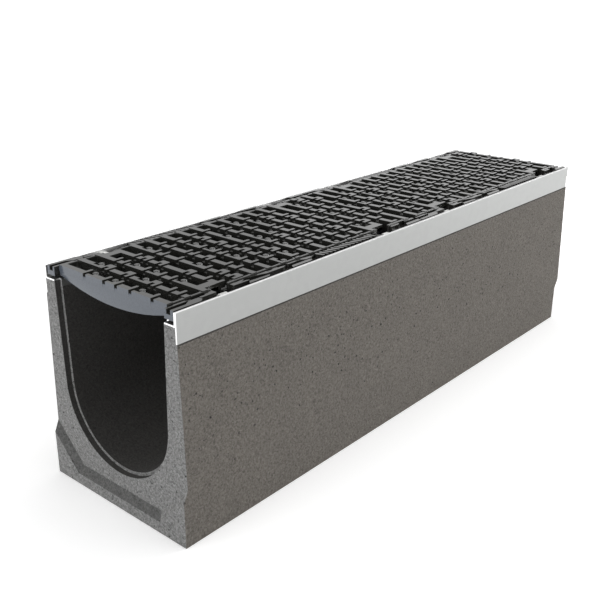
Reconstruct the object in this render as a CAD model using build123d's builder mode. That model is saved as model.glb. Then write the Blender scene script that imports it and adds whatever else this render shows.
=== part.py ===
from build123d import *
import math
import os

os.makedirs("parts", exist_ok=True)

# Driving dimensions, millimetres
# X runs across the channel, Y along it and Z up, from the middle of the underside

# Concrete channel
channel_length = 1000.0
channel_height = 308.0
base_width = 265.0
base_side_height = 80.0
wall_thickness = 30.5
bore_draft = 4.5
floor_thickness = 54.0
tongue_length = 7.0
tongue_flat_height = 28.0
tongue_slope = 11.5
tongue_angle = 45.0
joint_gap = 3.0
rebate_width = 4.5
rebate_depth = 8.0

# Folded edge rails
rail_setback = 5.5
rail_sheet = 2.0
rail_leg_height = 38.7
rail_leg_relief = 2.5
ledge_depth = 16.5
lip_height = 10.5
rail_bend = 1.5

# Straps that hold the rails in the concrete
anchor_count = 4
anchor_width = 20.0
anchor_sheet = 3.0
anchor_margin = 4.5
anchor_length = 70.0
anchor_splay = 6.0

# Gratings and what they stand on
grating_count = 2
grating_gap = 2.0
grating_side_clearance = 1.5
field_overhang = 2.0
field_rise = 2.5
pad_relief = 3.5
belly_drop = 16.0
bar_count = 18
bar_width = 8.5
bar_shift = 3.0
edge_rib_width = 3.5
edge_rib_drop = 1.0
groove_width = 5.5
tail_width = 4.5
tail_length = 8.5
hook_length = 13.5
link_mark_count = 3
link_top_depth = 8.0
link_height = 10.0
rest_thickness = 4.5
rest_length = 34.0
rest_margin = 1.25
rest_inset = 45.0

# Boltless locks, one in each pocket of a grating
lock_slot_count = 3
pocket_length = 28.0
pocket_offset = 6.0
pocket_wall = 7.0
pocket_corner = 5.0
plate_width = 12.0
lug_width = 13.0
lug_reach = 18.0
lug_height = 4.0
lug_drop = 6.5
lug_lead = 2.0
spring_sheet = 1.2
spring_width = 12.0
spring_bend = 2.0
spring_play = 0.5
spring_rise = 3.0

# Tops of one grating's bars, from its near end: each mark is a kind, and a place across the field
# in hundredths of the slots' half width. T is a groove with a tail beside it, H the same with a
# hook, which is a longer tail. One mark in link_mark_count also has a link to the next bar.
bar_marks = (
    "T73 T33 T6 T-17 T-56",
    "T88 T71 H44 H-6 H-45",
    "T41 T21 T-9 T-50 T-66",
    "T73 H45 H-7 H-37 T-61",
    "H75 T44 T-9 T-38 T-54",
    "T72 T53 H21 T-9 T-23 T-56 T-76",
    "T72 T52 T17 T3 T-24 T-57 T-76",
    "T73 T52 H33 T6 H-13 H-46 T-75",
    "T93 H60 T30 T2 T-77",
    "T71 T30 T-36 T-60 T-76",
    "H71 T49 H27 T4 T-34 T-57",
    "T71 T51 T25 T13 T-9 T-24 T-77",
    "T93 T71 T51 T16 T-25 H-51 T-76",
    "T94 T73 H58 T32 H7 H-27 T-48 T-75",
    "T55 T37 T8 T-18 T-42",
    "H68 T43 T8 H-18 T-47",
    "T68 T44 T18 H6 T-22 T-45 T-76",
    "T50 H26 T-39 H-70",
)

# Places that several pieces share
half_length = channel_length / 2
base_half = base_width / 2
bore_half = base_half - wall_thickness
bore_round = bore_half - bore_draft
bore_centre_z = floor_thickness + bore_round
rail_span = base_width - 2 * rail_setback
rail_half = rail_span / 2
rail_inner_half = rail_half - 2 * rail_sheet
rail_foot_z = channel_height - rail_leg_height
ledge_z = channel_height - ledge_depth
ledge_under_z = ledge_z - rail_sheet
lip_foot_z = ledge_z - lip_height
notch_half = bore_half + rebate_width
grating_module = channel_length / grating_count
grating_length = grating_module - grating_gap
grating_half = rail_inner_half - grating_side_clearance
grating_foot_z = ledge_z + rest_thickness
field_half = bore_half + field_overhang
field_top_z = channel_height + field_rise
bar_top_z = field_top_z - pad_relief
slot_half = field_half - edge_rib_width
bar_pitch = grating_length / bar_count
slot_width = bar_pitch - bar_width
bar_places = [
    (number + 0.5) * bar_pitch - grating_length / 2 - bar_shift for number in range(bar_count)
]
pocket_half = field_half - pocket_wall
lock_y = grating_length / 2 - lock_slot_count * bar_pitch
grating_places = [
    (number + 0.5) * grating_module - half_length for number in range(grating_count)
]
lock_places = [
    centre + y + pocket_offset for centre in grating_places for y in (-lock_y, lock_y)
]
sides = (("left", -1), ("right", 1))


def write(part, name):
    """Label one finished piece and write it."""
    part.label = name
    export_step(part, f"parts/{name}.step")


def bore_section(growth):
    """The bore's U, with drafted walls on a round bottom, grown outwards by growth."""
    top_half = bore_half + growth
    round_half = bore_round + growth
    with BuildSketch() as section:
        with BuildLine():
            Polyline(
                (-round_half, bore_centre_z), (-top_half, channel_height),
                (top_half, channel_height), (round_half, bore_centre_z),
            )
            ThreePointArc(
                (round_half, bore_centre_z), (0, bore_centre_z - round_half), (-round_half, bore_centre_z)
            )
        make_face()
    return section.sketch


def tongue_section(drop):
    """The end's lower field, under a bent line that is moved down square to itself by drop."""
    lean = math.radians(tongue_angle)
    side_z = base_side_height - drop / math.cos(lean)
    flat_z = tongue_flat_height - drop
    flat_half = base_half - (side_z - flat_z) / math.tan(lean)
    with BuildSketch() as section:
        with BuildLine():
            Polyline(
                (-base_half, 0), (base_half, 0), (base_half, side_z), (flat_half, flat_z),
                (-flat_half, flat_z), (-base_half, side_z), close=True,
            )
        make_face()
    return section.sketch


# Rail anchors: bent straps under the ledges, cast into the walls
anchor_pitch = channel_length / anchor_count
anchor_places = [(number + 0.5) * anchor_pitch - half_length for number in range(anchor_count)]
anchor_x = (bore_half + rail_half) / 2
anchor_foot = rail_half - bore_half - 2 * rail_sheet - 2 * anchor_margin
foot_z = ledge_under_z - anchor_sheet / 2
tip_z = ledge_under_z - anchor_length
anchors = []
for side_name, side in sides:
    for number, y in enumerate(anchor_places, start=1):
        with BuildPart() as rail_anchor:
            with BuildSketch(Plane.XZ.offset(-y)):
                with BuildLine():
                    Polyline(
                        (side * anchor_x, foot_z),
                        (side * anchor_x, tip_z + anchor_splay),
                        (side * (anchor_x - anchor_splay), tip_z),
                    )
                trace(line_width=anchor_sheet)
                with Locations((side * anchor_x, foot_z)):
                    Rectangle(anchor_foot, anchor_sheet)
            extrude(amount=anchor_width / 2, both=True)
        write(rail_anchor.part, f"rail_anchor_{side_name}_{number}")
        anchors.append(rail_anchor.part)

# Channel body: one precast piece with the rails' seats, the joint's tongue and its set-back
with BuildPart() as channel_body:
    with BuildSketch(Plane.XZ):
        with BuildLine():
            Polyline(
                (0, 0), (base_half, 0), (base_half, base_side_height), (rail_half, rail_foot_z),
                (rail_half - rail_sheet, rail_foot_z), (rail_half - rail_sheet, ledge_under_z),
                (bore_half + rail_sheet, ledge_under_z), (bore_half + rail_sheet, lip_foot_z),
                (0, lip_foot_z), (0, 0),
            )
        make_face()
        mirror(about=Plane.YZ)
    extrude(amount=half_length, both=True)
    with BuildSketch(Plane.XZ.offset(-half_length)):
        add(bore_section(0))
    extrude(amount=channel_length, mode=Mode.SUBTRACT)
    with BuildSketch(Plane.XZ.offset(half_length)):
        add(bore_section(rebate_width))
    extrude(amount=-rebate_depth, mode=Mode.SUBTRACT)
    with BuildSketch(Plane.XZ.offset(half_length)):
        add(tongue_section(0))
    with BuildSketch(Plane.XZ.offset(half_length + tongue_length)):
        add(tongue_section(tongue_slope))
    loft()
    with BuildSketch(Plane.XZ.offset(-half_length)):
        add(tongue_section(0))
    with BuildSketch(Plane.XZ.offset(tongue_length + joint_gap - half_length)):
        add(tongue_section(tongue_slope))
    loft(mode=Mode.SUBTRACT)
    for anchor in anchors:
        add(anchor, mode=Mode.SUBTRACT)
write(channel_body.part, "channel_body")

# Edge rails: sheet folded double above the ledge, with a lip turned down over the bore's edge
for side_name, side in sides:
    with BuildPart() as edge_rail:
        with BuildSketch(Plane.XZ) as rail_section:
            with BuildLine():
                Polyline(
                    (side * rail_half, rail_foot_z),
                    (side * rail_half, channel_height),
                    (side * rail_inner_half, channel_height),
                    (side * rail_inner_half, ledge_z),
                    (side * bore_half, ledge_z),
                    (side * bore_half, lip_foot_z),
                    (side * (bore_half + rail_sheet), lip_foot_z),
                    (side * (bore_half + rail_sheet), ledge_under_z),
                    (side * (rail_half - rail_sheet), ledge_under_z),
                    (side * (rail_half - rail_sheet), rail_foot_z),
                    close=True,
                )
            make_face()
            hem_corners = rail_section.vertices().group_by(Axis.Y)[-1]
            inner_corners = rail_section.vertices().filter_by(
                lambda corner: abs(corner.Y - ledge_z) < rail_sheet / 2
            )
            fillet(hem_corners + inner_corners, radius=rail_bend)
        extrude(amount=half_length, both=True)
        with BuildSketch(Plane.XY.offset(lip_foot_z)):
            with Locations((side * (bore_half + notch_half) / 2, -half_length + rebate_depth / 2)):
                Rectangle(rebate_width, rebate_depth)
        extrude(amount=ledge_depth, mode=Mode.SUBTRACT)
        with BuildSketch(Plane.XY.offset(rail_foot_z)):
            with Locations((side * (rail_half - rail_sheet / 2), half_length - rail_leg_relief / 2)):
                Rectangle(rail_sheet, rail_leg_relief)
        extrude(amount=ledge_under_z - rail_foot_z, mode=Mode.SUBTRACT)
    write(edge_rail.part, f"edge_rail_{side_name}")

# Locking lugs: tabs welded inside the rails, with a lead-in edge, which a lock's spring snaps under
lug_top_z = channel_height - lug_drop
lug_foot_z = lug_top_z - lug_height
for side_name, side in sides:
    for number, y in enumerate(lock_places, start=1):
        with BuildPart() as locking_lug:
            with BuildSketch(Plane.XZ.offset(-y)):
                with BuildLine():
                    Polyline(
                        (side * rail_inner_half, lug_foot_z),
                        (side * rail_inner_half, lug_top_z),
                        (side * (rail_inner_half - lug_reach + lug_lead), lug_top_z),
                        (side * (rail_inner_half - lug_reach), lug_top_z - lug_lead),
                        (side * (rail_inner_half - lug_reach), lug_foot_z),
                        close=True,
                    )
                make_face()
            extrude(amount=lug_width / 2, both=True)
        write(locking_lug.part, f"locking_lug_{side_name}_{number}")

# Lock springs: bent strips against a pocket's inner wall, with a nose under the rail's lug
spring_x = pocket_half + spring_sheet / 2
nose_x = rail_inner_half - lug_reach / 2
nose_z = lug_foot_z - spring_play - spring_sheet
spring_foot_z = nose_z - spring_rise
for side_name, side in sides:
    for number, y in enumerate(lock_places, start=1):
        with BuildPart() as lock_spring:
            with BuildSketch(Plane.XZ.offset(-y)):
                with BuildLine():
                    FilletPolyline(
                        (side * spring_x, lug_top_z),
                        (side * spring_x, spring_foot_z),
                        (side * nose_x, nose_z),
                        radius=spring_bend,
                    )
                trace(line_width=spring_sheet)
            extrude(amount=spring_width / 2, both=True)
        write(lock_spring.part, f"lock_spring_{side_name}_{number}")

# Rubber rests: strips on the ledges that the gratings stand on
rest_y = grating_length / 2 - rest_inset
rest_places = [centre + y for centre in grating_places for y in (-rest_y, rest_y)]
rest_x = (field_half + grating_half) / 2
rest_width = grating_half - field_half - 2 * rest_margin
for side_name, side in sides:
    for number, y in enumerate(rest_places, start=1):
        with BuildPart() as rubber_rest:
            with BuildSketch(Plane.XY.offset(ledge_z)):
                with Locations((side * rest_x, y)):
                    Rectangle(rest_width, rest_length)
            extrude(amount=rest_thickness)
        write(rubber_rest.part, f"rubber_rest_{side_name}_{number}")

# One grating casting: flat side bands, and a field of bars that are deepest in the middle. The bars
# lie towards the near end by bar_shift, since their tails reach out on the far side only.
belly_z = grating_foot_z - belly_drop
set_backs = ((-1, slot_width / 2 - bar_shift), (1, slot_width / 2 + bar_shift))
bar_joints = [
    (mark[0], float(mark[1:]) / 100 * slot_half, y)
    for y, marks in zip(bar_places, bar_marks)
    for mark in marks.split()
]
hooks = [joint for joint in bar_joints if joint[0] == "H"]
linked_joints = [joint for joint in bar_joints[::link_mark_count] if joint[2] < bar_places[-1]]
with BuildPart() as grating:
    with BuildSketch(Plane.XZ):
        with BuildLine():
            Polyline(
                (-field_half, grating_foot_z), (-grating_half, grating_foot_z),
                (-grating_half, channel_height), (-field_half, channel_height),
                (-field_half, bar_top_z), (field_half, bar_top_z),
                (field_half, channel_height), (grating_half, channel_height),
                (grating_half, grating_foot_z), (field_half, grating_foot_z),
            )
            ThreePointArc((field_half, grating_foot_z), (0, belly_z), (-field_half, grating_foot_z))
        make_face()
    extrude(amount=grating_length / 2, both=True, clean=False)
    with BuildSketch(Plane.XY.offset(belly_z)):
        for end, set_back in set_backs:
            with Locations((0, end * (grating_length - set_back) / 2)):
                Rectangle(2 * field_half, set_back)
        with Locations([(0, y + bar_pitch / 2) for y in bar_places[:-1]]):
            Rectangle(2 * slot_half, slot_width)
    extrude(amount=field_top_z - belly_z, mode=Mode.SUBTRACT, clean=False)
    with BuildSketch(Plane.XY.offset(field_top_z - link_top_depth)):
        with Locations([(x, y + bar_pitch / 2) for kind, x, y in linked_joints]):
            Rectangle(tail_width, slot_width)
    extrude(amount=-link_height, clean=False)
    with BuildSketch(Plane.XY.offset(bar_top_z)):
        with Locations([(0, y) for y in bar_places]):
            Rectangle(2 * slot_half, bar_width)
        with Locations([(x + (tail_width + groove_width) / 2, y) for kind, x, y in bar_joints]):
            Rectangle(groove_width, bar_width, mode=Mode.SUBTRACT)
        with Locations([(x, y + (bar_width + tail_length) / 2) for kind, x, y in bar_joints]):
            Rectangle(tail_width, tail_length)
        hook_shift = (tail_width - hook_length) / 2
        with Locations([(x + hook_shift, y + (bar_width + tail_length) / 2) for kind, x, y in hooks]):
            Rectangle(hook_length, tail_length)
    extrude(amount=pad_relief, clean=False)
    with BuildSketch(Plane.XY.offset(bar_top_z)):
        with Locations((0, -bar_shift)):
            with GridLocations(field_half + slot_half, 0, 2, 1):
                Rectangle(edge_rib_width, grating_length - slot_width)
    extrude(amount=pad_relief - edge_rib_drop, clean=False)
    with BuildSketch(Plane.XY.offset(grating_foot_z)):
        with Locations((0, -bar_shift)):
            with GridLocations(2 * pocket_half - plate_width, 2 * lock_y, 2, 2):
                Rectangle(plate_width, slot_width)
    extrude(amount=field_top_z - grating_foot_z, clean=False)
    pocket_reach = grating_half - pocket_half
    with BuildSketch(Plane.XY.offset(belly_z)):
        with Locations((0, pocket_offset)):
            with GridLocations(2 * (pocket_half + pocket_reach), 2 * lock_y, 2, 2):
                RectangleRounded(2 * pocket_reach, pocket_length, pocket_corner)
    extrude(amount=field_top_z - belly_z, mode=Mode.SUBTRACT)

# The front and the rear grating are the same casting
for name, y in zip(("grating_front", "grating_rear"), grating_places):
    with BuildPart() as placed_grating:
        with Locations((0, y, 0)):
            add(grating.part, clean=False)
    write(placed_grating.part, name)
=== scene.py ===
import math

import bmesh
import bpy
from mathutils import Matrix, Vector


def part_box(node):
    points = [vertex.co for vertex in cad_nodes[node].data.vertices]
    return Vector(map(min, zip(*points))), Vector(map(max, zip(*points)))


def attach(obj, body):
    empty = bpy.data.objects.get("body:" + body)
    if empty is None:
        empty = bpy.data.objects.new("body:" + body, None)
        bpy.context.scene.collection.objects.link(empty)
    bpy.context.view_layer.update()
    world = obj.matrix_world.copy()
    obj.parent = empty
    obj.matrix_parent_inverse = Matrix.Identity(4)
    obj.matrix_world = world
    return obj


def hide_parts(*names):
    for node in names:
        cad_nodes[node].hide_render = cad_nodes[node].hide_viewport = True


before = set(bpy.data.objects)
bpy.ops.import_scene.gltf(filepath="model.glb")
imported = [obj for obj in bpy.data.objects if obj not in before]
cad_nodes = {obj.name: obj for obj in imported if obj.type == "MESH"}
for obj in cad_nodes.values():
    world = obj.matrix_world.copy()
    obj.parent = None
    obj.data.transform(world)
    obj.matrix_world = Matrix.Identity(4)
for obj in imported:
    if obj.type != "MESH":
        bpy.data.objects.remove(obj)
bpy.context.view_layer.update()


# Channel body
# One precast trough of fibre-reinforced concrete, vibrated in a steel mould. Its outside skin is warm
# grey with pinholes, its two end faces show paler grit, and the formed bore is smooth, with painted shade
# that makes it dark.

def linear_colour(code):
    """A colour written as sRGB hex, as the linear RGBA that a shader takes."""
    parts = [int(code[i:i + 2], 16) / 255 for i in (1, 3, 5)]
    linear = [p / 12.92 if p <= 0.04045 else ((p + 0.055) / 1.055) ** 2.4 for p in parts]
    return (*linear, 1.0)


def add_node(tree, kind, inputs=None, **settings):
    """Adds one node with its settings. Each input is a value, or another node's output to link."""
    made = tree.nodes.new(kind)
    for name, value in settings.items():
        setattr(made, name, value)
    for name, value in (inputs or {}).items():
        if isinstance(value, bpy.types.NodeSocket):
            tree.links.new(value, made.inputs[name])
        else:
            made.inputs[name].default_value = value
    return made


concrete = bpy.data.materials.new("precast_concrete")
concrete.use_nodes = True
tree = concrete.node_tree
tree.nodes.clear()
place = add_node(tree, "ShaderNodeTexCoord")
spot = place.outputs["Object"]
where = add_node(tree, "ShaderNodeSeparateXYZ", {"Vector": spot})
facing = add_node(tree, "ShaderNodeSeparateXYZ", {"Vector": place.outputs["Normal"]})
across = add_node(tree, "ShaderNodeMath", {0: where.outputs["X"]}, operation="ABSOLUTE")
facing_end = add_node(tree, "ShaderNodeMath", {0: facing.outputs["Y"]}, operation="ABSOLUTE")
# Cement-rich clouds some 70 mm across give the outside skin its slow change of tone
clouds = add_node(tree, "ShaderNodeTexNoise", {"Vector": spot, "Scale": 14.0, "Detail": 3.0})
skin = add_node(
    tree, "ShaderNodeMix",
    {"Factor": clouds.outputs["Fac"], 6: linear_colour("#807b75"), 7: linear_colour("#8b867f")},
    data_type="RGBA",
)
# Sand grains of 1.5 mm, drawn as 3 mm so that they show, and a little smeared
grains = add_node(
    tree, "ShaderNodeTexNoise",
    {"Vector": spot, "Scale": 330.0, "Detail": 5.0, "Roughness": 0.75, "Distortion": 0.8},
)
grain_share = add_node(
    tree, "ShaderNodeMapRange", {"Value": grains.outputs["Fac"], "From Min": 0.35, "From Max": 0.65}
)
skin_grain = add_node(
    tree, "ShaderNodeMix",
    {"Factor": grain_share.outputs[0], 6: linear_colour("#9a9894"), 7: linear_colour("#ffffff")},
    data_type="RGBA",
)
skin_toned = add_node(
    tree, "ShaderNodeMix", {"Factor": 1.0, 6: skin.outputs[2], 7: skin_grain.outputs[2]},
    data_type="RGBA", blend_type="MULTIPLY",
)
# The end faces are paler and greyer, with more contrast between paste and grit
grit = add_node(
    tree, "ShaderNodeMix",
    {"Factor": grain_share.outputs[0], 6: linear_colour("#505050"), 7: linear_colour("#aaaaa9")},
    data_type="RGBA",
)
on_end = add_node(
    tree, "ShaderNodeMapRange", {"Value": facing_end.outputs[0], "From Min": 0.4, "From Max": 0.9}
)
outside = add_node(
    tree, "ShaderNodeMix", {"Factor": on_end.outputs[0], 6: skin_toned.outputs[2], 7: grit.outputs[2]},
    data_type="RGBA",
)
# The tongue's slope is painted dark on its level run and on its left-hand run: painted shade, chosen by the
# way each run faces
on_slope = add_node(
    tree, "ShaderNodeMath", {0: facing_end.outputs[0], 1: 0.85, 2: 0.1}, operation="COMPARE"
)
level_or_left = add_node(
    tree, "ShaderNodeMath", {0: facing.outputs["X"], 1: -0.1}, operation="GREATER_THAN"
)
slope_painted_shade_mask = add_node(
    tree, "ShaderNodeMath", {0: on_slope.outputs[0], 1: level_or_left.outputs[0]}, operation="MULTIPLY"
)
slope = add_node(
    tree, "ShaderNodeMix",
    {"Factor": grain_share.outputs[0], 6: linear_colour("#414140"), 7: linear_colour("#757574")},
    data_type="RGBA",
)
outside = add_node(
    tree, "ShaderNodeMix", {"Factor": slope_painted_shade_mask.outputs[0], 6: outside.outputs[2], 7: slope.outputs[2]},
    data_type="RGBA",
)
# A dark line 2 mm wide on the side walls just under each rail's foot
rail_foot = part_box("edge_rail_right")[0][2]
under_rail = add_node(
    tree, "ShaderNodeMath", {0: where.outputs["Z"], 1: rail_foot - 0.001, 2: 0.0011}, operation="COMPARE"
)
on_wall = add_node(tree, "ShaderNodeMath", {0: facing_end.outputs[0], 1: 0.5}, operation="LESS_THAN")
under_rail = add_node(
    tree, "ShaderNodeMath", {0: under_rail.outputs[0], 1: on_wall.outputs[0]}, operation="MULTIPLY"
)
outside = add_node(
    tree, "ShaderNodeMix",
    {"Factor": under_rail.outputs[0], 6: outside.outputs[2], 7: linear_colour("#383633")},
    data_type="RGBA",
)
# The formed bore, with the seal's rebate, is smoother than the outside; its darker colour is painted shade of
# the deep recess
in_width = add_node(tree, "ShaderNodeMath", {0: across.outputs[0], 1: 0.108}, operation="LESS_THAN")
above_floor = add_node(tree, "ShaderNodeMath", {0: where.outputs["Z"], 1: 0.045}, operation="GREATER_THAN")
in_bore = add_node(
    tree, "ShaderNodeMath", {0: in_width.outputs[0], 1: above_floor.outputs[0]}, operation="MULTIPLY"
)
in_bore = add_node(
    tree, "ShaderNodeMath", {0: in_bore.outputs[0], 1: on_wall.outputs[0]}, operation="MULTIPLY"
)
bore_painted_shade = add_node(
    tree, "ShaderNodeMix",
    {"Factor": grain_share.outputs[0], 6: linear_colour("#232220"), 7: linear_colour("#403e3c")},
    data_type="RGBA",
)
toned = add_node(
    tree, "ShaderNodeMix", {"Factor": in_bore.outputs[0], 6: outside.outputs[2], 7: bore_painted_shade.outputs[2]},
    data_type="RGBA",
)
# Pinholes of trapped air, up to 3 mm wide and about 10 mm apart, with ragged edges: the pits are real, and
# their dark colour is painted shade inside them
ragged = add_node(tree, "ShaderNodeTexNoise", {"Vector": spot, "Scale": 240.0, "Detail": 2.0})
hole_spot = add_node(
    tree, "ShaderNodeVectorMath", {0: ragged.outputs["Color"], 1: (0.005, 0.005, 0.005), 2: spot},
    operation="MULTIPLY_ADD",
)
holes = add_node(
    tree, "ShaderNodeTexVoronoi",
    {"Vector": hole_spot.outputs[0], "Scale": 105.0, "Randomness": 1.0}, feature="F1",
)
hole_size = add_node(tree, "ShaderNodeSeparateColor", {"Color": holes.outputs["Color"]})
hole_edge = add_node(
    tree, "ShaderNodeMapRange",
    {"Value": hole_size.outputs[0], "From Min": 0.25, "From Max": 1.0, "To Min": 0.0, "To Max": 0.2},
)
hole_depth = add_node(
    tree, "ShaderNodeMath", {0: hole_edge.outputs[0], 1: holes.outputs["Distance"]}, operation="SUBTRACT"
)
hole_share = add_node(
    tree, "ShaderNodeMapRange", {"Value": hole_depth.outputs[0], "From Min": 0.0, "From Max": 0.05}
)
pits_and_painted_shade = add_node(
    tree, "ShaderNodeMix",
    {"Factor": hole_share.outputs[0], 6: toned.outputs[2], 7: linear_colour("#262523")},
    data_type="RGBA",
)
rough = add_node(
    tree, "ShaderNodeMath", {0: grains.outputs["Fac"], 1: ragged.outputs["Fac"]}, operation="ADD"
)
relief = add_node(
    tree, "ShaderNodeMath", {0: rough.outputs[0], 1: hole_share.outputs[0]}, operation="SUBTRACT"
)
bump = add_node(tree, "ShaderNodeBump", {"Height": relief.outputs[0], "Strength": 0.9, "Distance": 0.0017})
surface = add_node(
    tree, "ShaderNodeBsdfPrincipled",
    {"Base Color": pits_and_painted_shade.outputs[2], "Roughness": 0.88, "IOR": 1.5, "Normal": bump.outputs[0]},
)
add_node(tree, "ShaderNodeOutputMaterial", {"Surface": surface.outputs[0]})


def give_material(name, material):
    """Puts a material on a CAD node in place of its plain one."""
    cad_nodes[name].material_slots[0].material = material


give_material("channel_body", concrete)


# Edge rails
# Two rails of 2 mm hot-dip galvanised sheet, folded double above the ledge and turned down over the
# bore's edge. The zinc is dull and even, and painted highlights make it bright on its folds, cut ends
# and inner faces.

galvanised = bpy.data.materials.new("hot_dip_galvanised_steel")
galvanised.use_nodes = True
tree = galvanised.node_tree
tree.nodes.clear()
place = add_node(tree, "ShaderNodeTexCoord")
where = add_node(tree, "ShaderNodeSeparateXYZ", {"Vector": place.outputs["Object"]})
facing = add_node(tree, "ShaderNodeSeparateXYZ", {"Vector": place.outputs["Normal"]})
# Zinc spangle, crystals of about 9 mm, barely seen
spangle = add_node(
    tree, "ShaderNodeTexVoronoi", {"Vector": place.outputs["Object"], "Scale": 110.0}, feature="F1"
)
spangle_tone = add_node(tree, "ShaderNodeSeparateColor", {"Color": spangle.outputs["Color"]})
coating = add_node(
    tree, "ShaderNodeMix",
    {"Factor": spangle_tone.outputs[0], 6: linear_colour("#a1a2a1"), 7: linear_colour("#a3a4a3")},
    data_type="RGBA",
)
# The cut ends, and the fold along the top, are painted brighter than the flat faces: painted highlights
facing_end = add_node(tree, "ShaderNodeMath", {0: facing.outputs["Y"]}, operation="ABSOLUTE")
cut = add_node(tree, "ShaderNodeMapRange", {"Value": facing_end.outputs[0], "From Min": 0.7, "From Max": 0.8})
on_fold = add_node(
    tree, "ShaderNodeMapRange", {"Value": facing.outputs["Z"], "From Min": 0.3, "From Max": 0.8}
)
at_top = add_node(tree, "ShaderNodeMath", {0: where.outputs["Z"], 1: 0.3}, operation="GREATER_THAN")
fold_painted_highlight = add_node(tree, "ShaderNodeMath", {0: on_fold.outputs[0], 1: at_top.outputs[0]}, operation="MULTIPLY")
# The inner faces above the ledges are painted bright: a painted highlight
side_faced = add_node(
    tree, "ShaderNodeMath", {0: facing.outputs["X"], 1: where.outputs["X"]}, operation="MULTIPLY"
)
inward = add_node(tree, "ShaderNodeMath", {0: side_faced.outputs[0], 1: -0.06}, operation="LESS_THAN")
above_ledge = add_node(tree, "ShaderNodeMath", {0: where.outputs["Z"], 1: 0.293}, operation="GREATER_THAN")
inner_face_painted_highlight = add_node(
    tree, "ShaderNodeMath", {0: inward.outputs[0], 1: above_ledge.outputs[0]}, operation="MULTIPLY"
)
zinc = add_node(
    tree, "ShaderNodeMix",
    {"Factor": fold_painted_highlight.outputs[0], 6: coating.outputs[2], 7: linear_colour("#cbcbcb")}, data_type="RGBA",
)
zinc = add_node(
    tree, "ShaderNodeMix", {"Factor": inner_face_painted_highlight.outputs[0], 6: zinc.outputs[2], 7: linear_colour("#f0f0f0")},
    data_type="RGBA",
)
zinc = add_node(
    tree, "ShaderNodeMix", {"Factor": cut.outputs[0], 6: zinc.outputs[2], 7: linear_colour("#f4f4f4")},
    data_type="RGBA",
)
dulling = add_node(
    tree, "ShaderNodeMapRange", {"Value": spangle_tone.outputs[1], "To Min": 0.44, "To Max": 0.45}
)
# Fine unevenness of the dip, 1.7 mm across
dip = add_node(tree, "ShaderNodeTexNoise", {"Vector": place.outputs["Object"], "Scale": 600.0, "Detail": 2.0})
bump = add_node(tree, "ShaderNodeBump", {"Height": dip.outputs["Fac"], "Strength": 0.06, "Distance": 0.0003})
surface = add_node(
    tree, "ShaderNodeBsdfPrincipled",
    {
        "Base Color": zinc.outputs[2], "Metallic": 1.0, "Roughness": dulling.outputs[0],
        "Normal": bump.outputs[0],
    },
)
add_node(tree, "ShaderNodeOutputMaterial", {"Surface": surface.outputs[0]})

for name in ("edge_rail_left", "edge_rail_right"):
    give_material(name, galvanised)


# Rail anchors and locking lugs
# Bent straps under the ledges hold the rails in the concrete, and tabs welded inside the rails hold
# the gratings down. They are cut from the rails' steel and dipped with them.

for name in sorted(cad_nodes):
    if name.startswith("rail_anchor"):
        give_material(name, galvanised)

lug_zinc_painted_highlight = bpy.data.materials.new("lug_zinc_with_painted_highlight")
lug_zinc_painted_highlight.use_nodes = True
tree = lug_zinc_painted_highlight.node_tree
tree.nodes.clear()
place = add_node(tree, "ShaderNodeTexCoord")
# The tabs' pale colour is a painted highlight, varied in smooth runs of about 4 mm
runs = add_node(
    tree, "ShaderNodeTexNoise", {"Vector": place.outputs["Object"], "Scale": 250.0, "Detail": 2.0}
)
run_tone = add_node(
    tree, "ShaderNodeMix",
    {"Factor": runs.outputs["Fac"], 6: linear_colour("#d9d9d7"), 7: linear_colour("#eeeeec")},
    data_type="RGBA",
)
bump = add_node(tree, "ShaderNodeBump", {"Height": runs.outputs["Fac"], "Strength": 0.15, "Distance": 0.0003})
surface = add_node(
    tree, "ShaderNodeBsdfPrincipled",
    {"Base Color": run_tone.outputs[2], "Metallic": 0.6, "Roughness": 0.45, "Normal": bump.outputs[0]},
)
add_node(tree, "ShaderNodeOutputMaterial", {"Surface": surface.outputs[0]})

for name in sorted(cad_nodes):
    if name.startswith("locking_lug"):
        give_material(name, lug_zinc_painted_highlight)


# Lock springs
# Clips bent from strip of hardened and blued spring steel, one against the inner wall of each pocket,
# with a nose that snaps under the rail's lug.

spring_steel = bpy.data.materials.new("blued_spring_strip")
spring_steel.use_nodes = True
tree = spring_steel.node_tree
tree.nodes.clear()
place = add_node(tree, "ShaderNodeTexCoord")
# Rolling lines along the strip, about 0.5 mm apart
rolled = add_node(
    tree, "ShaderNodeMapping", {"Vector": place.outputs["Object"], "Scale": (60.0, 2000.0, 60.0)}
)
lines = add_node(tree, "ShaderNodeTexNoise", {"Vector": rolled.outputs[0], "Scale": 1.0, "Detail": 2.0})
strip_tone = add_node(
    tree, "ShaderNodeMix",
    {"Factor": lines.outputs["Fac"], 6: linear_colour("#232427"), 7: linear_colour("#35373b")},
    data_type="RGBA",
)
surface = add_node(
    tree, "ShaderNodeBsdfPrincipled",
    {"Base Color": strip_tone.outputs[2], "Metallic": 1.0, "Roughness": 0.38},
)
add_node(tree, "ShaderNodeOutputMaterial", {"Surface": surface.outputs[0]})

for name in sorted(cad_nodes):
    if name.startswith("lock_spring"):
        give_material(name, spring_steel)


# Rubber rests
# Moulded strips of black rubber on the ledges. The gratings stand on them, so that they don't rattle
# on the rails.

rubber = bpy.data.materials.new("moulded_black_rubber")
rubber.use_nodes = True
tree = rubber.node_tree
tree.nodes.clear()
place = add_node(tree, "ShaderNodeTexCoord")
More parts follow.
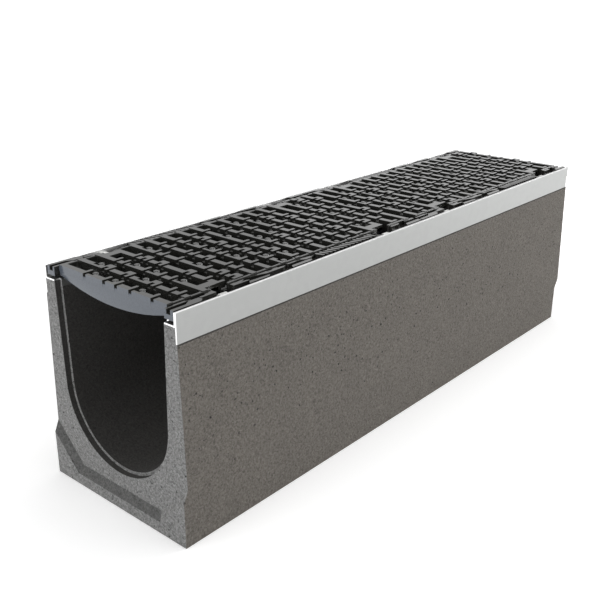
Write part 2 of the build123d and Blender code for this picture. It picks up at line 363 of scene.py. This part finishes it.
# Matt mould skin with 1 mm mottle
mottle = add_node(
    tree, "ShaderNodeTexNoise", {"Vector": place.outputs["Object"], "Scale": 900.0, "Detail": 2.0}
)
rubber_tone = add_node(
    tree, "ShaderNodeMix",
    {"Factor": mottle.outputs["Fac"], 6: linear_colour("#1a1a1a"), 7: linear_colour("#262626")},
    data_type="RGBA",
)
bump = add_node(
    tree, "ShaderNodeBump", {"Height": mottle.outputs["Fac"], "Strength": 0.2, "Distance": 0.0002}
)
surface = add_node(
    tree, "ShaderNodeBsdfPrincipled",
    {"Base Color": rubber_tone.outputs[2], "Roughness": 0.75, "IOR": 1.52, "Normal": bump.outputs[0]},
)
add_node(tree, "ShaderNodeOutputMaterial", {"Surface": surface.outputs[0]})

for name in sorted(cad_nodes):
    if name.startswith("rubber_rest"):
        give_material(name, rubber)


# Gratings
# Two identical castings of ductile iron, dipped in black paint. Eighteen bars, deepest in the middle,
# carry raised pads with tails, hooks and nubs that stand out over the slots and keep feet and wheels
# from slipping. The side bands between the bars and the rails carry a relief of islands and channels.

mm = 0.001
bar_count = 18
grating_length = 498.0
bar_pitch = grating_length / bar_count
bar_width = 8.0
pad_width = 8.6
bar_top = 306.6
pad_top = 310.4
rib_top = 309.6
field_half = 104.0
slot_half = 100.5
band_edge = 121.4
foot_inner = 105.5
foot_height = 296.0
belly_height = 280.0
band_floor = 302.5
band_top = 308.2
pocket_inner = 97.0
plate_inner = 84.5
pocket_spans = ((-174.0, -146.0), (158.0, 186.0))
bars_before_pockets = (2, 14)
groove = 5.5
tail_half = 2.4
tail_reach = 8.4
hook_reach = 11.0

# One line for each bar from the near end, with the marks' places across the field in millimetres:
# T a groove beside a tail, H the same with a hook round an eye, and D a bay with a nub behind it
bar_marks = (
    "T73 D43 T33 T6 D-8 T-17 D-47 T-56",
    "T88 T71 H44 D16 H-6 H-45 D-72",
    "D54 T41 T21 D3 T-9 D-35 T-50 T-66",
    "T94 T73 H45 H-7 H-37 T-61",
    "H98 H75 T44 D22 T-9 T-38 T-54 D-77",
    "T72 T53 H21 T-9 T-23 T-56 T-76",
    "T72 T52 D34 T17 T3 D-12 T-24 D-45 T-57 T-76",
    "D93 T73 D61 T52 H33 T6 H-13 H-46 T-75",
    "T93 D71 H60 T30 T13 T2 D-37 T-77",
    "T71 D46 T30 D13 D-3 T-36 T-60 T-76",
    "H71 T49 H27 T4 D-6 T-34 T-57 D-77",
    "D93 T71 T51 T39 T25 T13 T-9 T-24 D-57 T-77",
    "T93 T71 T51 D30 T16 T-25 H-51 T-76",
    "T94 T73 H58 T32 H7 H-27 T-48 T-75",
    "D66 T55 T37 T8 T-18 T-42",
    "H68 T43 T8 D-4 H-18 T-47 D-76",
    "T97 T68 T44 T18 H6 T-22 T-45 T-76 H-86",
    "T50 H26 D-14 T-39 H-70",
)
# The marks stand out on the far side of each bar only, so the bars lie off the pitch's middle
bar_shift = 3.0
bar_places = [(number + 0.5) * bar_pitch - grating_length / 2 - bar_shift for number in range(bar_count)]
marks = [[(mark[0], float(mark[1:])) for mark in line.split()] for line in bar_marks]

black_iron = bpy.data.materials.new("black_dipped_cast_iron")
black_iron.use_nodes = True
tree = black_iron.node_tree
tree.nodes.clear()
place = add_node(tree, "ShaderNodeTexCoord")
where = add_node(tree, "ShaderNodeSeparateXYZ", {"Vector": place.outputs["Object"]})
facing = add_node(tree, "ShaderNodeSeparateXYZ", {"Vector": place.outputs["Normal"]})
# Sand-cast grain of 1.4 mm under the paint
grain = add_node(
    tree, "ShaderNodeTexNoise", {"Vector": place.outputs["Object"], "Scale": 700.0, "Detail": 3.0}
)
# Thicker and thinner paint in patches of 25 mm
patches = add_node(
    tree, "ShaderNodeTexNoise", {"Vector": place.outputs["Object"], "Scale": 40.0, "Detail": 2.0}
)
paint = add_node(
    tree, "ShaderNodeMix",
    {"Factor": patches.outputs["Fac"], 6: linear_colour("#262624"), 7: linear_colour("#2e2e2b")},
    data_type="RGBA",
)
# The faces at the two open ends are painted pale blue-grey: a painted reflection of the bright surroundings
facing_end = add_node(tree, "ShaderNodeMath", {0: facing.outputs["Y"]}, operation="ABSOLUTE")
flat_end = add_node(
    tree, "ShaderNodeMapRange", {"Value": facing_end.outputs[0], "From Min": 0.6, "From Max": 0.85}
)
along = add_node(tree, "ShaderNodeMath", {0: where.outputs["Y"]}, operation="ABSOLUTE")
at_end = add_node(tree, "ShaderNodeMath", {0: along.outputs[0], 1: 0.485}, operation="GREATER_THAN")
end_face_painted_reflection = add_node(
    tree, "ShaderNodeMath", {0: flat_end.outputs[0], 1: at_end.outputs[0]}, operation="MULTIPLY"
)
end_reflection_tone = add_node(
    tree, "ShaderNodeMix",
    {"Factor": grain.outputs["Fac"], 6: linear_colour("#4a5059"), 7: linear_colour("#5e656f")},
    data_type="RGBA",
)
iron_tone = add_node(
    tree, "ShaderNodeMix", {"Factor": end_face_painted_reflection.outputs[0], 6: paint.outputs[2], 7: end_reflection_tone.outputs[2]},
    data_type="RGBA",
)
gloss = add_node(tree, "ShaderNodeMapRange", {"Value": grain.outputs["Fac"], "To Min": 0.1, "To Max": 0.18})
bump = add_node(
    tree, "ShaderNodeBump", {"Height": grain.outputs["Fac"], "Strength": 0.12, "Distance": 0.0003}
)
surface = add_node(
    tree, "ShaderNodeBsdfPrincipled",
    {
        "Base Color": iron_tone.outputs[2], "Roughness": gloss.outputs[0], "IOR": 1.5,
        "Normal": bump.outputs[0],
    },
)
add_node(tree, "ShaderNodeOutputMaterial", {"Surface": surface.outputs[0]})

# One bar is an arch plate: its curved belly line is drawn up to the bar's top, and given its thickness.
# The plates are then set out along the casting at the bars' pitch.
bars_tree = bpy.data.node_groups.new("grating_bars", "GeometryNodeTree")
for name, kind, value in (
    ("Left springing", "NodeSocketVector", (-field_half * mm, -bar_width / 2 * mm, foot_height * mm)),
    ("Crown of belly", "NodeSocketVector", (0.0, -bar_width / 2 * mm, belly_height * mm)),
    ("Right springing", "NodeSocketVector", (field_half * mm, -bar_width / 2 * mm, foot_height * mm)),
    ("Top height", "NodeSocketFloat", bar_top * mm),
    ("Bar width", "NodeSocketFloat", bar_width * mm),
    ("Bar count", "NodeSocketInt", bar_count),
    ("First bar", "NodeSocketVector", (0.0, bar_places[0] * mm, 0.0)),
    ("Bar pitch", "NodeSocketVector", (0.0, bar_pitch * mm, 0.0)),
):
    bars_tree.interface.new_socket(name, in_out="INPUT", socket_type=kind).default_value = value
bars_tree.interface.new_socket("Material", in_out="INPUT", socket_type="NodeSocketMaterial")
bars_tree.interface.new_socket("Geometry", in_out="OUTPUT", socket_type="NodeSocketGeometry")
given = add_node(bars_tree, "NodeGroupInput").outputs
belly_line = add_node(
    bars_tree, "GeometryNodeCurveArc",
    {
        "Resolution": 33, "Start": given["Left springing"], "Middle": given["Crown of belly"],
        "End": given["Right springing"],
    },
    mode="POINTS",
)
belly_edge = add_node(bars_tree, "GeometryNodeCurveToMesh", {"Curve": belly_line.outputs[0]})
web = add_node(
    bars_tree, "GeometryNodeExtrudeMesh",
    {"Mesh": belly_edge.outputs[0], "Offset": (0.0, 0.0, 1.0), "Offset Scale": 0.01}, mode="EDGES",
)
position = add_node(bars_tree, "GeometryNodeInputPosition")
point = add_node(bars_tree, "ShaderNodeSeparateXYZ", {"Vector": position.outputs[0]})
level_point = add_node(
    bars_tree, "ShaderNodeCombineXYZ",
    {"X": point.outputs["X"], "Y": point.outputs["Y"], "Z": given["Top height"]},
)
levelled = add_node(
    bars_tree, "GeometryNodeSetPosition",
    {"Geometry": web.outputs["Mesh"], "Selection": web.outputs["Top"], "Position": level_point.outputs[0]},
)
thick = add_node(
    bars_tree, "GeometryNodeExtrudeMesh",
    {
        "Mesh": levelled.outputs[0], "Offset": (0.0, 1.0, 0.0), "Offset Scale": given["Bar width"],
        "Individual": False,
    },
    mode="FACES",
)
near_face = add_node(bars_tree, "GeometryNodeFlipFaces", {"Mesh": levelled.outputs[0]})
shell = add_node(bars_tree, "GeometryNodeJoinGeometry")
bars_tree.links.new(thick.outputs["Mesh"], shell.inputs[0])
bars_tree.links.new(near_face.outputs[0], shell.inputs[0])
one_bar = add_node(
    bars_tree, "GeometryNodeMergeByDistance", {"Geometry": shell.outputs[0], "Distance": 0.00001}
)
row = add_node(
    bars_tree, "GeometryNodeMeshLine",
    {"Count": given["Bar count"], "Start Location": given["First bar"], "Offset": given["Bar pitch"]},
)
set_out = add_node(
    bars_tree, "GeometryNodeInstanceOnPoints", {"Points": row.outputs[0], "Instance": one_bar.outputs[0]}
)
made_real = add_node(bars_tree, "GeometryNodeRealizeInstances", {"Geometry": set_out.outputs[0]})
finished = add_node(
    bars_tree, "GeometryNodeSetMaterial", {"Geometry": made_real.outputs[0], "Material": given["Material"]}
)
add_node(bars_tree, "NodeGroupOutput", {"Geometry": finished.outputs[0]})


def grow_into(casting, tree, places, edge_radius):
    """Runs a geometry tree on a mesh of bare points, rounds what grows, and adds it to the casting."""
    seed = bpy.data.meshes.new(tree.name)
    seed.from_pydata(places, [], [])
    host = bpy.data.objects.new(tree.name, seed)
    bpy.context.scene.collection.objects.link(host)
    grow = host.modifiers.new("grow", "NODES")
    grow.node_group = tree
    for item in tree.interface.items_tree:
        if item.in_out == "INPUT" and item.name == "Material":
            grow[item.identifier] = black_iron
    soften = host.modifiers.new("soften", "BEVEL")
    soften.width = edge_radius * mm
    soften.segments = 2
    soften.limit_method = "ANGLE"
    soften.angle_limit = math.radians(50)
    grown = bpy.data.meshes.new_from_object(host.evaluated_get(bpy.context.evaluated_depsgraph_get()))
    host.modifiers.clear()
    bpy.data.objects.remove(host)
    bpy.data.meshes.remove(seed)
    solid = bmesh.new()
    solid.from_mesh(grown)
    bmesh.ops.recalc_face_normals(solid, faces=solid.faces[:])
    solid.to_mesh(grown)
    solid.free()
    casting.from_mesh(grown)
    bpy.data.meshes.remove(grown)


casting = bmesh.new()
grow_into(casting, bars_tree, [(0, 0, 0)], edge_radius=1.5)
# Bars whose ends would stand in a lock's pocket stop at its inner wall
for vert in casting.verts:
    for low_y, high_y in pocket_spans:
        if low_y * mm < vert.co.y < high_y * mm and abs(vert.co.x) > pocket_inner * mm:
            vert.co.x = math.copysign(pocket_inner * mm, vert.co.x)
bmesh.ops.remove_doubles(casting, verts=casting.verts[:], dist=0.001 * mm)


def lay_plan(flat, outline):
    """Lays one flat outline of a plan, in millimetres."""
    flat.faces.new([flat.verts.new((x * mm, y * mm, 0)) for x, y in outline])


def lay_cell(flat, x0, x1, y0, y1):
    """Lays one flat rectangle of a plan, in millimetres."""
    lay_plan(flat, ((x0, y0), (x1, y0), (x1, y1), (x0, y1)))


def raise_into(casting, flat, low, high, corner, rim, tips=()):
    """Raises a plan from low to high with rounded corners, tips and rim, and adds it to the casting."""
    bmesh.ops.remove_doubles(flat, verts=flat.verts[:], dist=0.01 * mm)
    bmesh.ops.dissolve_limit(flat, angle_limit=0.01, verts=flat.verts[:], edges=flat.edges[:])
    blunt = [vert for vert in flat.verts if any(abs(vert.co.y - tip * mm) < 0.01 * mm for tip in tips)]
    sharp = [vert for vert in flat.verts if vert not in blunt]
    for corners, radius in ((blunt, tail_half - 0.4), (sharp, corner)):
        if corners and radius:
            bmesh.ops.bevel(
                flat, geom=corners, offset=radius * mm, segments=4, profile=0.5, affect="VERTICES",
                clamp_overlap=True,
            )
    for vert in flat.verts:
        vert.co.z = high * mm
    lowered = bmesh.ops.extrude_face_region(flat, geom=flat.faces[:])["geom"]
    for item in lowered:
        if isinstance(item, bmesh.types.BMVert):
            item.co.z = low * mm
    bmesh.ops.recalc_face_normals(flat, faces=flat.faces[:])
    rims = [
        edge for edge in flat.edges
        if all(abs(vert.co.z - high * mm) < 1e-7 for vert in edge.verts) and len(edge.link_faces) == 2
        and any(abs(face.normal.z) < 0.5 for face in edge.link_faces)
    ]
    bmesh.ops.bevel(
        flat, geom=rims, offset=rim * mm, segments=2, profile=0.5, affect="EDGES", clamp_overlap=True
    )
    raised = bpy.data.meshes.new("raised")
    flat.to_mesh(raised)
    flat.free()
    casting.from_mesh(raised)
    bpy.data.meshes.remove(raised)


# Pads: what is left of the bars' tops between the grooves, with the tails and hooks over the slots.
# A bay takes away the far half of the pad beside its mark, and its nub stands there.
bay_left = 3.6
bay_right = 7.6
nub_aside = 2.0
nub_beyond = 4.6
pads = bmesh.new()
nub_places = []
for line, y in zip(marks, bar_places):
    near_y, far_y = y - pad_width / 2, y + pad_width / 2
    in_pocket = any(low_y < y < high_y for low_y, high_y in pocket_spans)
    end = pocket_inner if in_pocket else field_half
    across_cuts, half_cuts, reaches = [], [], []
    for kind, x in line:
        if kind in "TH":
            across_cuts.append((x + tail_half, x + tail_half + groove))
            reaches.append((x - hook_reach if kind == "H" else x - tail_half, x + tail_half))
        if kind == "H":
            across_cuts.append((x - tail_half - groove, x - tail_half))
        if kind == "D":
            half_cuts.append((x - bay_left, x + bay_right))
            nub_places.append(((x + nub_aside) * mm, (far_y + nub_beyond) * mm, 0.0))
    stops = {-end, end, -plate_inner, plate_inner, -pocket_inner, pocket_inner}
    stops |= {stop for cut in across_cuts + half_cuts + reaches for stop in cut}
    stops = sorted(stop for stop in stops if -end <= stop <= end)
    for x0, x1 in zip(stops, stops[1:]):
        x = (x0 + x1) / 2
        cut = any(low < x < high for low, high in across_cuts)
        if not cut:
            lay_cell(pads, x0, x1, near_y, y)
        if not cut and not any(low < x < high for low, high in half_cuts):
            lay_cell(pads, x0, x1, y, far_y)
        if any(low < x < high for low, high in reaches):
            lay_cell(pads, x0, x1, far_y, far_y + tail_reach)
for index in bars_before_pockets:
    for side in (-1, 1):
        x0, x1 = sorted((side * plate_inner, side * pocket_inner))
        lay_cell(pads, x0, x1, bar_places[index] + pad_width / 2, bar_places[index + 1] - pad_width / 2)
raise_into(
    casting, pads, 302.0, pad_top, corner=1.1, rim=1.3,
    tips=[y + pad_width / 2 + tail_reach for y in bar_places],
)

# Nubs: round buttons on the bars' far edges, just lower than the pads
nub_width = 8.8
nub_length = 9.0
nub_centre = pad_top - 0.6 - nub_length / 2
nubs_tree = bpy.data.node_groups.new("slot_nubs", "GeometryNodeTree")
nubs_tree.interface.new_socket("Places", in_out="INPUT", socket_type="NodeSocketGeometry")
for name, kind, value in (
    ("Nub radius", "NodeSocketFloat", nub_width / 2 * mm),
    ("Nub length", "NodeSocketFloat", nub_length * mm),
    ("Nub centre", "NodeSocketVector", (0.0, 0.0, nub_centre * mm)),
):
    nubs_tree.interface.new_socket(name, in_out="INPUT", socket_type=kind).default_value = value
nubs_tree.interface.new_socket("Material", in_out="INPUT", socket_type="NodeSocketMaterial")
nubs_tree.interface.new_socket("Geometry", in_out="OUTPUT", socket_type="NodeSocketGeometry")
given = add_node(nubs_tree, "NodeGroupInput").outputs
button = add_node(
    nubs_tree, "GeometryNodeMeshCylinder",
    {"Vertices": 16, "Radius": given["Nub radius"], "Depth": given["Nub length"]},
)
standing = add_node(
    nubs_tree, "GeometryNodeTransform",
    {"Geometry": button.outputs["Mesh"], "Translation": given["Nub centre"]},
)
set_out = add_node(
    nubs_tree, "GeometryNodeInstanceOnPoints", {"Points": given["Places"], "Instance": standing.outputs[0]}
)
made_real = add_node(nubs_tree, "GeometryNodeRealizeInstances", {"Geometry": set_out.outputs[0]})
finished = add_node(
    nubs_tree, "GeometryNodeSetMaterial", {"Geometry": made_real.outputs[0], "Material": given["Material"]}
)
add_node(nubs_tree, "NodeGroupOutput", {"Geometry": finished.outputs[0]})
grow_into(casting, nubs_tree, nub_places, edge_radius=1.8)

# Edge ribs along both sides of the field, broken by the pockets, with the slots' rounded corners
band_runs = (
    (-grating_length / 2, pocket_spans[0][0]), (pocket_spans[0][1], pocket_spans[1][0]),
    (pocket_spans[1][1], grating_length / 2),
)
field_near = bar_places[0] - bar_width / 2
field_far = bar_places[-1] + bar_width / 2 + 4.0
ribs = bmesh.new()
for side in (-1, 1):
    for low_y, high_y in band_runs:
        x0, x1 = sorted((side * slot_half, side * (field_half + 0.2)))
        lay_cell(ribs, x0, x1, max(low_y, field_near), min(high_y, field_far))
raise_into(casting, ribs, foot_height, rib_top, corner=1.2, rim=0.7)

# Each corner's fillet runs a little into the metal behind it
slot_corner = 4.0
pocket_corner = 5.0
overlap = 0.6
quarter = [math.radians(-90 + 22.5 * step) for step in range(5)]
corners = bmesh.new()
for side in (-1, 1):
    for before, after in zip(bar_places, bar_places[1:]):
        for y, turn in ((before + pad_width / 2, 1), (after - pad_width / 2, -1)):
            if not any(low_y - 3 < y < high_y + 3 for low_y, high_y in pocket_spans):
                fillet = [
                    (
                        slot_half + slot_corner * (math.cos(angle) - 1),
                        y + turn * slot_corner * (math.sin(angle) + 1),
                    )
                    for angle in quarter
                ]
                fillet += [
                    (slot_half + overlap, y + turn * slot_corner), (slot_half + overlap, y - turn * overlap),
                    (slot_half - slot_corner, y - turn * overlap),
                ]
                lay_plan(corners, [(side * px, py) for px, py in fillet])
    for low_y, high_y in pocket_spans:
        fillet = [
            (
                pocket_inner + pocket_corner * (1 - math.cos(angle)),
                low_y + pocket_corner * (math.sin(angle) + 1),
            )
            for angle in quarter
        ]
        fillet += [
            (pocket_inner - overlap, low_y + pocket_corner), (pocket_inner - overlap, low_y - overlap),
            (pocket_inner + pocket_corner, low_y - overlap),
        ]
        lay_plan(corners, [(side * px, py) for px, py in fillet])
raise_into(casting, corners, 300.0, rib_top, corner=0.0, rim=0.5)

# Side bands: a low floor from pocket to pocket, set back beside the arch at both ends, and the feet
floors = bmesh.new()
for side in (-1, 1):
    for low_y, high_y in band_runs:
        x0, x1 = sorted((side * foot_inner, side * band_edge))
        lay_cell(floors, x0, x1, low_y, high_y)
        x0, x1 = sorted((side * field_half, side * foot_inner))
        lay_cell(floors, x0, x1, max(low_y, field_near + 1.0), min(high_y, field_far))
raise_into(casting, floors, foot_height, band_floor, corner=1.5, rim=0.5)

# Islands of the relief, as corner points on the right-hand band: six near the grating's two ends, and
# five in the middle run, which is turned end for end on the left-hand band
end_islands = (
    (
        (115.9, -248.8), (121.2, -248.8), (121.2, -206), (117, -200), (110.5, -200), (110.5, -216),
        (115.9, -225),
    ),
    ((105.8, -248.8), (109.6, -248.8), (109.6, -218), (105.8, -214)),
    (
        (103.5, -187), (107.5, -187), (109.7, -190), (109.7, -199), (113.4, -199), (113.4, -174.5),
        (103.5, -174.5),
    ),
    ((103.5, 187), (109.6, 187), (109.6, 206), (106, 209), (103.5, 207)),
    ((114.6, 216), (121.2, 211), (121.2, 248.8), (114.6, 248.8)),
    ((103.8, 226), (108.3, 221), (108.3, 247), (103.8, 247)),
)
middle_islands = (
    (
        (103.5, -145.5), (113.2, -145.5), (113.2, -117), (110.6, -120), (110.3, -130), (105.4, -119),
        (103.6, -121.5), (106.6, -134), (103.5, -136),
    ),
    (
        (104.2, -118), (107, -108), (109.4, -95), (112.3, -86), (112.3, -56), (110.2, -50), (108.3, -54),
        (108, -62), (103.6, -59), (103.6, -67), (106, -69), (106, -89), (103.6, -92),
    ),
    ((115.4, -121), (121.2, -126), (121.2, -91), (117.5, -86)),
    ((104.2, -45), (109, -42), (109, -18), (113, -12), (113, 1), (108.5, 2), (107, -9), (104.2, -14)),
    ((115.5, -43), (121.2, -47), (121.2, -10), (117.5, -5), (115.5, -8)),
)
slip_rib_count = 15
slip_rib_start = 14.0
slip_rib_pitch = 8.2
both_pocket_middles = sum((low_y + high_y) / 2 for low_y, high_y in pocket_spans)
islands = bmesh.new()
for side in (-1, 1):
    for outline in end_islands:
        lay_plan(islands, [(side * x, y) for x, y in outline])
    # Slanted anti-slip ribs fill the rest of the middle run
    slip_ribs = []
    for number in range(slip_rib_count):
        start = slip_rib_start + number * slip_rib_pitch
        slip_ribs.append((
            (105.5, start), (109.0, start - 1.6), (119.0, start + 3.0), (119.0, start + 6.4),
            (105.5, start + 3.6),
        ))
    for outline in (*middle_islands, *slip_ribs):
        lay_plan(islands, [(side * x, y if side > 0 else both_pocket_middles - y) for x, y in outline])
raise_into(casting, islands, band_floor - 1.0, band_top, corner=1.0, rim=0.6)

# Pocket walls that the plates stand on
walls = bmesh.new()
for index in bars_before_pockets:
    for side in (-1, 1):
        x0, x1 = sorted((side * plate_inner, side * pocket_inner))
        lay_cell(walls, x0, x1, bar_places[index], bar_places[index + 1])
raise_into(casting, walls, foot_height, bar_top, corner=0.8, rim=0.5)

# Links: short ribs low in the slots that tie each bar to the next one at every third mark
link_width = 5.0
link_depth = 7.0
link_middle = 294.5
links_tree = bpy.data.node_groups.new("bar_links", "GeometryNodeTree")
links_tree.interface.new_socket("Places", in_out="INPUT", socket_type="NodeSocketGeometry")
link_size = links_tree.interface.new_socket("Link size", in_out="INPUT", socket_type="NodeSocketVector")
link_size.default_value = (link_width * mm, (bar_pitch - 6.0) * mm, link_depth * mm)
links_tree.interface.new_socket("Material", in_out="INPUT", socket_type="NodeSocketMaterial")
links_tree.interface.new_socket("Geometry", in_out="OUTPUT", socket_type="NodeSocketGeometry")
given = add_node(links_tree, "NodeGroupInput").outputs
link = add_node(links_tree, "GeometryNodeMeshCube", {"Size": given["Link size"]})
set_out = add_node(
    links_tree, "GeometryNodeInstanceOnPoints", {"Points": given["Places"], "Instance": link.outputs["Mesh"]}
)
made_real = add_node(links_tree, "GeometryNodeRealizeInstances", {"Geometry": set_out.outputs[0]})
finished = add_node(
    links_tree, "GeometryNodeSetMaterial", {"Geometry": made_real.outputs[0], "Material": given["Material"]}
)
add_node(links_tree, "NodeGroupOutput", {"Geometry": finished.outputs[0]})
link_places = [
    (x * mm, (y + bar_pitch / 2) * mm, link_middle * mm)
    for line, y in zip(marks[:-1], bar_places) for kind, x in line[::3]
]
grow_into(casting, links_tree, link_places, edge_radius=1.2)

# One casting, set twice in the channel
half_module = 250.0
for name, node_name, shift in (
    ("grating_casting_front", "grating_front", -half_module),
    ("grating_casting_rear", "grating_rear", half_module),
):
    mesh = bpy.data.meshes.new(name)
    casting.to_mesh(mesh)
    mesh.transform(Matrix.Translation((0, shift * mm, 0)))
    mesh.materials.clear()
    mesh.materials.append(black_iron)
    mesh.polygons.foreach_set("material_index", [0] * len(mesh.polygons))
    grating = bpy.data.objects.new(name, mesh)
    bpy.context.scene.collection.objects.link(grating)
    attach(grating, "root")
    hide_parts(node_name)
casting.free()


# Studio
# A white floor under soft lamps: the floor and the backdrop show as white behind the drain and keep
# its shadow.

paper = bpy.data.materials.new("white_studio_floor")
paper.use_nodes = True
tree = paper.node_tree
tree.nodes.clear()
place = add_node(tree, "ShaderNodeTexCoord")
matt = add_node(tree, "ShaderNodeBsdfDiffuse", {"Color": linear_colour("#f4f4f4")})
# The glow is weak round the drain, where its shadow lies, and full beyond 1.3 m
distance = add_node(tree, "ShaderNodeVectorMath", {0: place.outputs["Object"]}, operation="LENGTH")
glow_level = add_node(
    tree, "ShaderNodeMapRange",
    {"Value": distance.outputs["Value"], "From Min": 0.6, "From Max": 1.3, "To Min": 0.34, "To Max": 0.8},
)
glow = add_node(
    tree, "ShaderNodeEmission", {"Color": linear_colour("#ffffff"), "Strength": glow_level.outputs[0]}
)
both = add_node(tree, "ShaderNodeAddShader", {0: matt.outputs[0], 1: glow.outputs[0]})
ray = add_node(tree, "ShaderNodeLightPath")
seen = add_node(
    tree, "ShaderNodeMath", {0: ray.outputs["Is Camera Ray"], 1: ray.outputs["Is Glossy Ray"]},
    operation="MAXIMUM",
)
paper_shader = add_node(
    tree, "ShaderNodeMixShader", {0: seen.outputs[0], 1: matt.outputs[0], 2: both.outputs[0]}
)
add_node(tree, "ShaderNodeOutputMaterial", {"Surface": paper_shader.outputs[0]})
floor_mesh = bpy.data.meshes.new("studio_floor")
floor_mesh.from_pydata([(-30, -30, 0), (30, -30, 0), (30, 30, 0), (-30, 30, 0)], [], [(0, 1, 2, 3)])
floor_mesh.materials.append(paper)
studio_floor = bpy.data.objects.new("studio_floor", floor_mesh)
bpy.context.scene.collection.objects.link(studio_floor)
studio_floor.location.z = -0.0002

world = bpy.data.worlds.new("studio")
bpy.context.scene.world = world
world.use_nodes = True
tree = world.node_tree
tree.nodes.clear()
ray = add_node(tree, "ShaderNodeLightPath")
seen = add_node(
    tree, "ShaderNodeMath", {0: ray.outputs["Is Camera Ray"], 1: ray.outputs["Is Glossy Ray"]},
    operation="MAXIMUM",
)
level = add_node(tree, "ShaderNodeMapRange", {"Value": seen.outputs[0], "To Min": 0.45, "To Max": 1.0})
sky = add_node(
    tree, "ShaderNodeBackground", {"Color": linear_colour("#ffffff"), "Strength": level.outputs[0]}
)
add_node(tree, "ShaderNodeOutputWorld", {"Surface": sky.outputs[0]})


def hang_lamp(name, power, size, at, aim):
    """A soft square lamp at one point, turned to another."""
    light = bpy.data.lights.new(name, "AREA")
    light.energy = power
    light.size = size
    lamp = bpy.data.objects.new(name, light)
    bpy.context.scene.collection.objects.link(lamp)
    lamp.location = at
    lamp.rotation_euler = (Vector(aim) - Vector(at)).to_track_quat("-Z", "Y").to_euler()


hang_lamp("top_lamp", 40.0, 2.5, (0.3, 0.4, 3.2), (0, 0, 0.2))
hang_lamp("front_lamp", 26.0, 1.6, (-0.6, -3.0, 1.2), (0, -0.4, 0.15))
hang_lamp("side_lamp", 12.0, 1.8, (3.2, 0.4, 1.2), (0, 0, 0.15))
hang_lamp("far_lamp", 26.0, 1.2, (1.7, 3.2, 1.0), (0.1, 0.4, 0.25))
hang_lamp("back_lamp", 2.4, 1.6, (-1.6, 2.7, 1.1), (0, 0.8, 0.3))

# The camera stands where the photograph was taken from, found by a fit to the object's corners
photo_width = 600
focal_length = 854.72
azimuth = math.radians(40.8)
elevation = math.radians(21.21)
roll = math.radians(0.24)
camera_place = (0.80173, -1.07157, 0.66322)
back = Vector((
    math.sin(azimuth) * math.cos(elevation), -math.cos(azimuth) * math.cos(elevation), math.sin(elevation),
))
right = Vector((math.cos(azimuth), math.sin(azimuth), 0))
up = back.cross(right)
rolled_right = right * math.cos(roll) + up * math.sin(roll)
rolled_up = up * math.cos(roll) - right * math.sin(roll)
camera_data = bpy.data.cameras.new("photo_camera")
camera_data.sensor_width = 36.0
camera_data.lens = focal_length / photo_width * camera_data.sensor_width
camera = bpy.data.objects.new("photo_camera", camera_data)
bpy.context.scene.collection.objects.link(camera)
turn = Matrix((rolled_right, rolled_up, back)).transposed()
camera.matrix_world = Matrix.Translation(camera_place) @ turn.to_4x4()
bpy.context.scene.camera = camera
bpy.context.scene.view_settings.view_transform = "Standard"
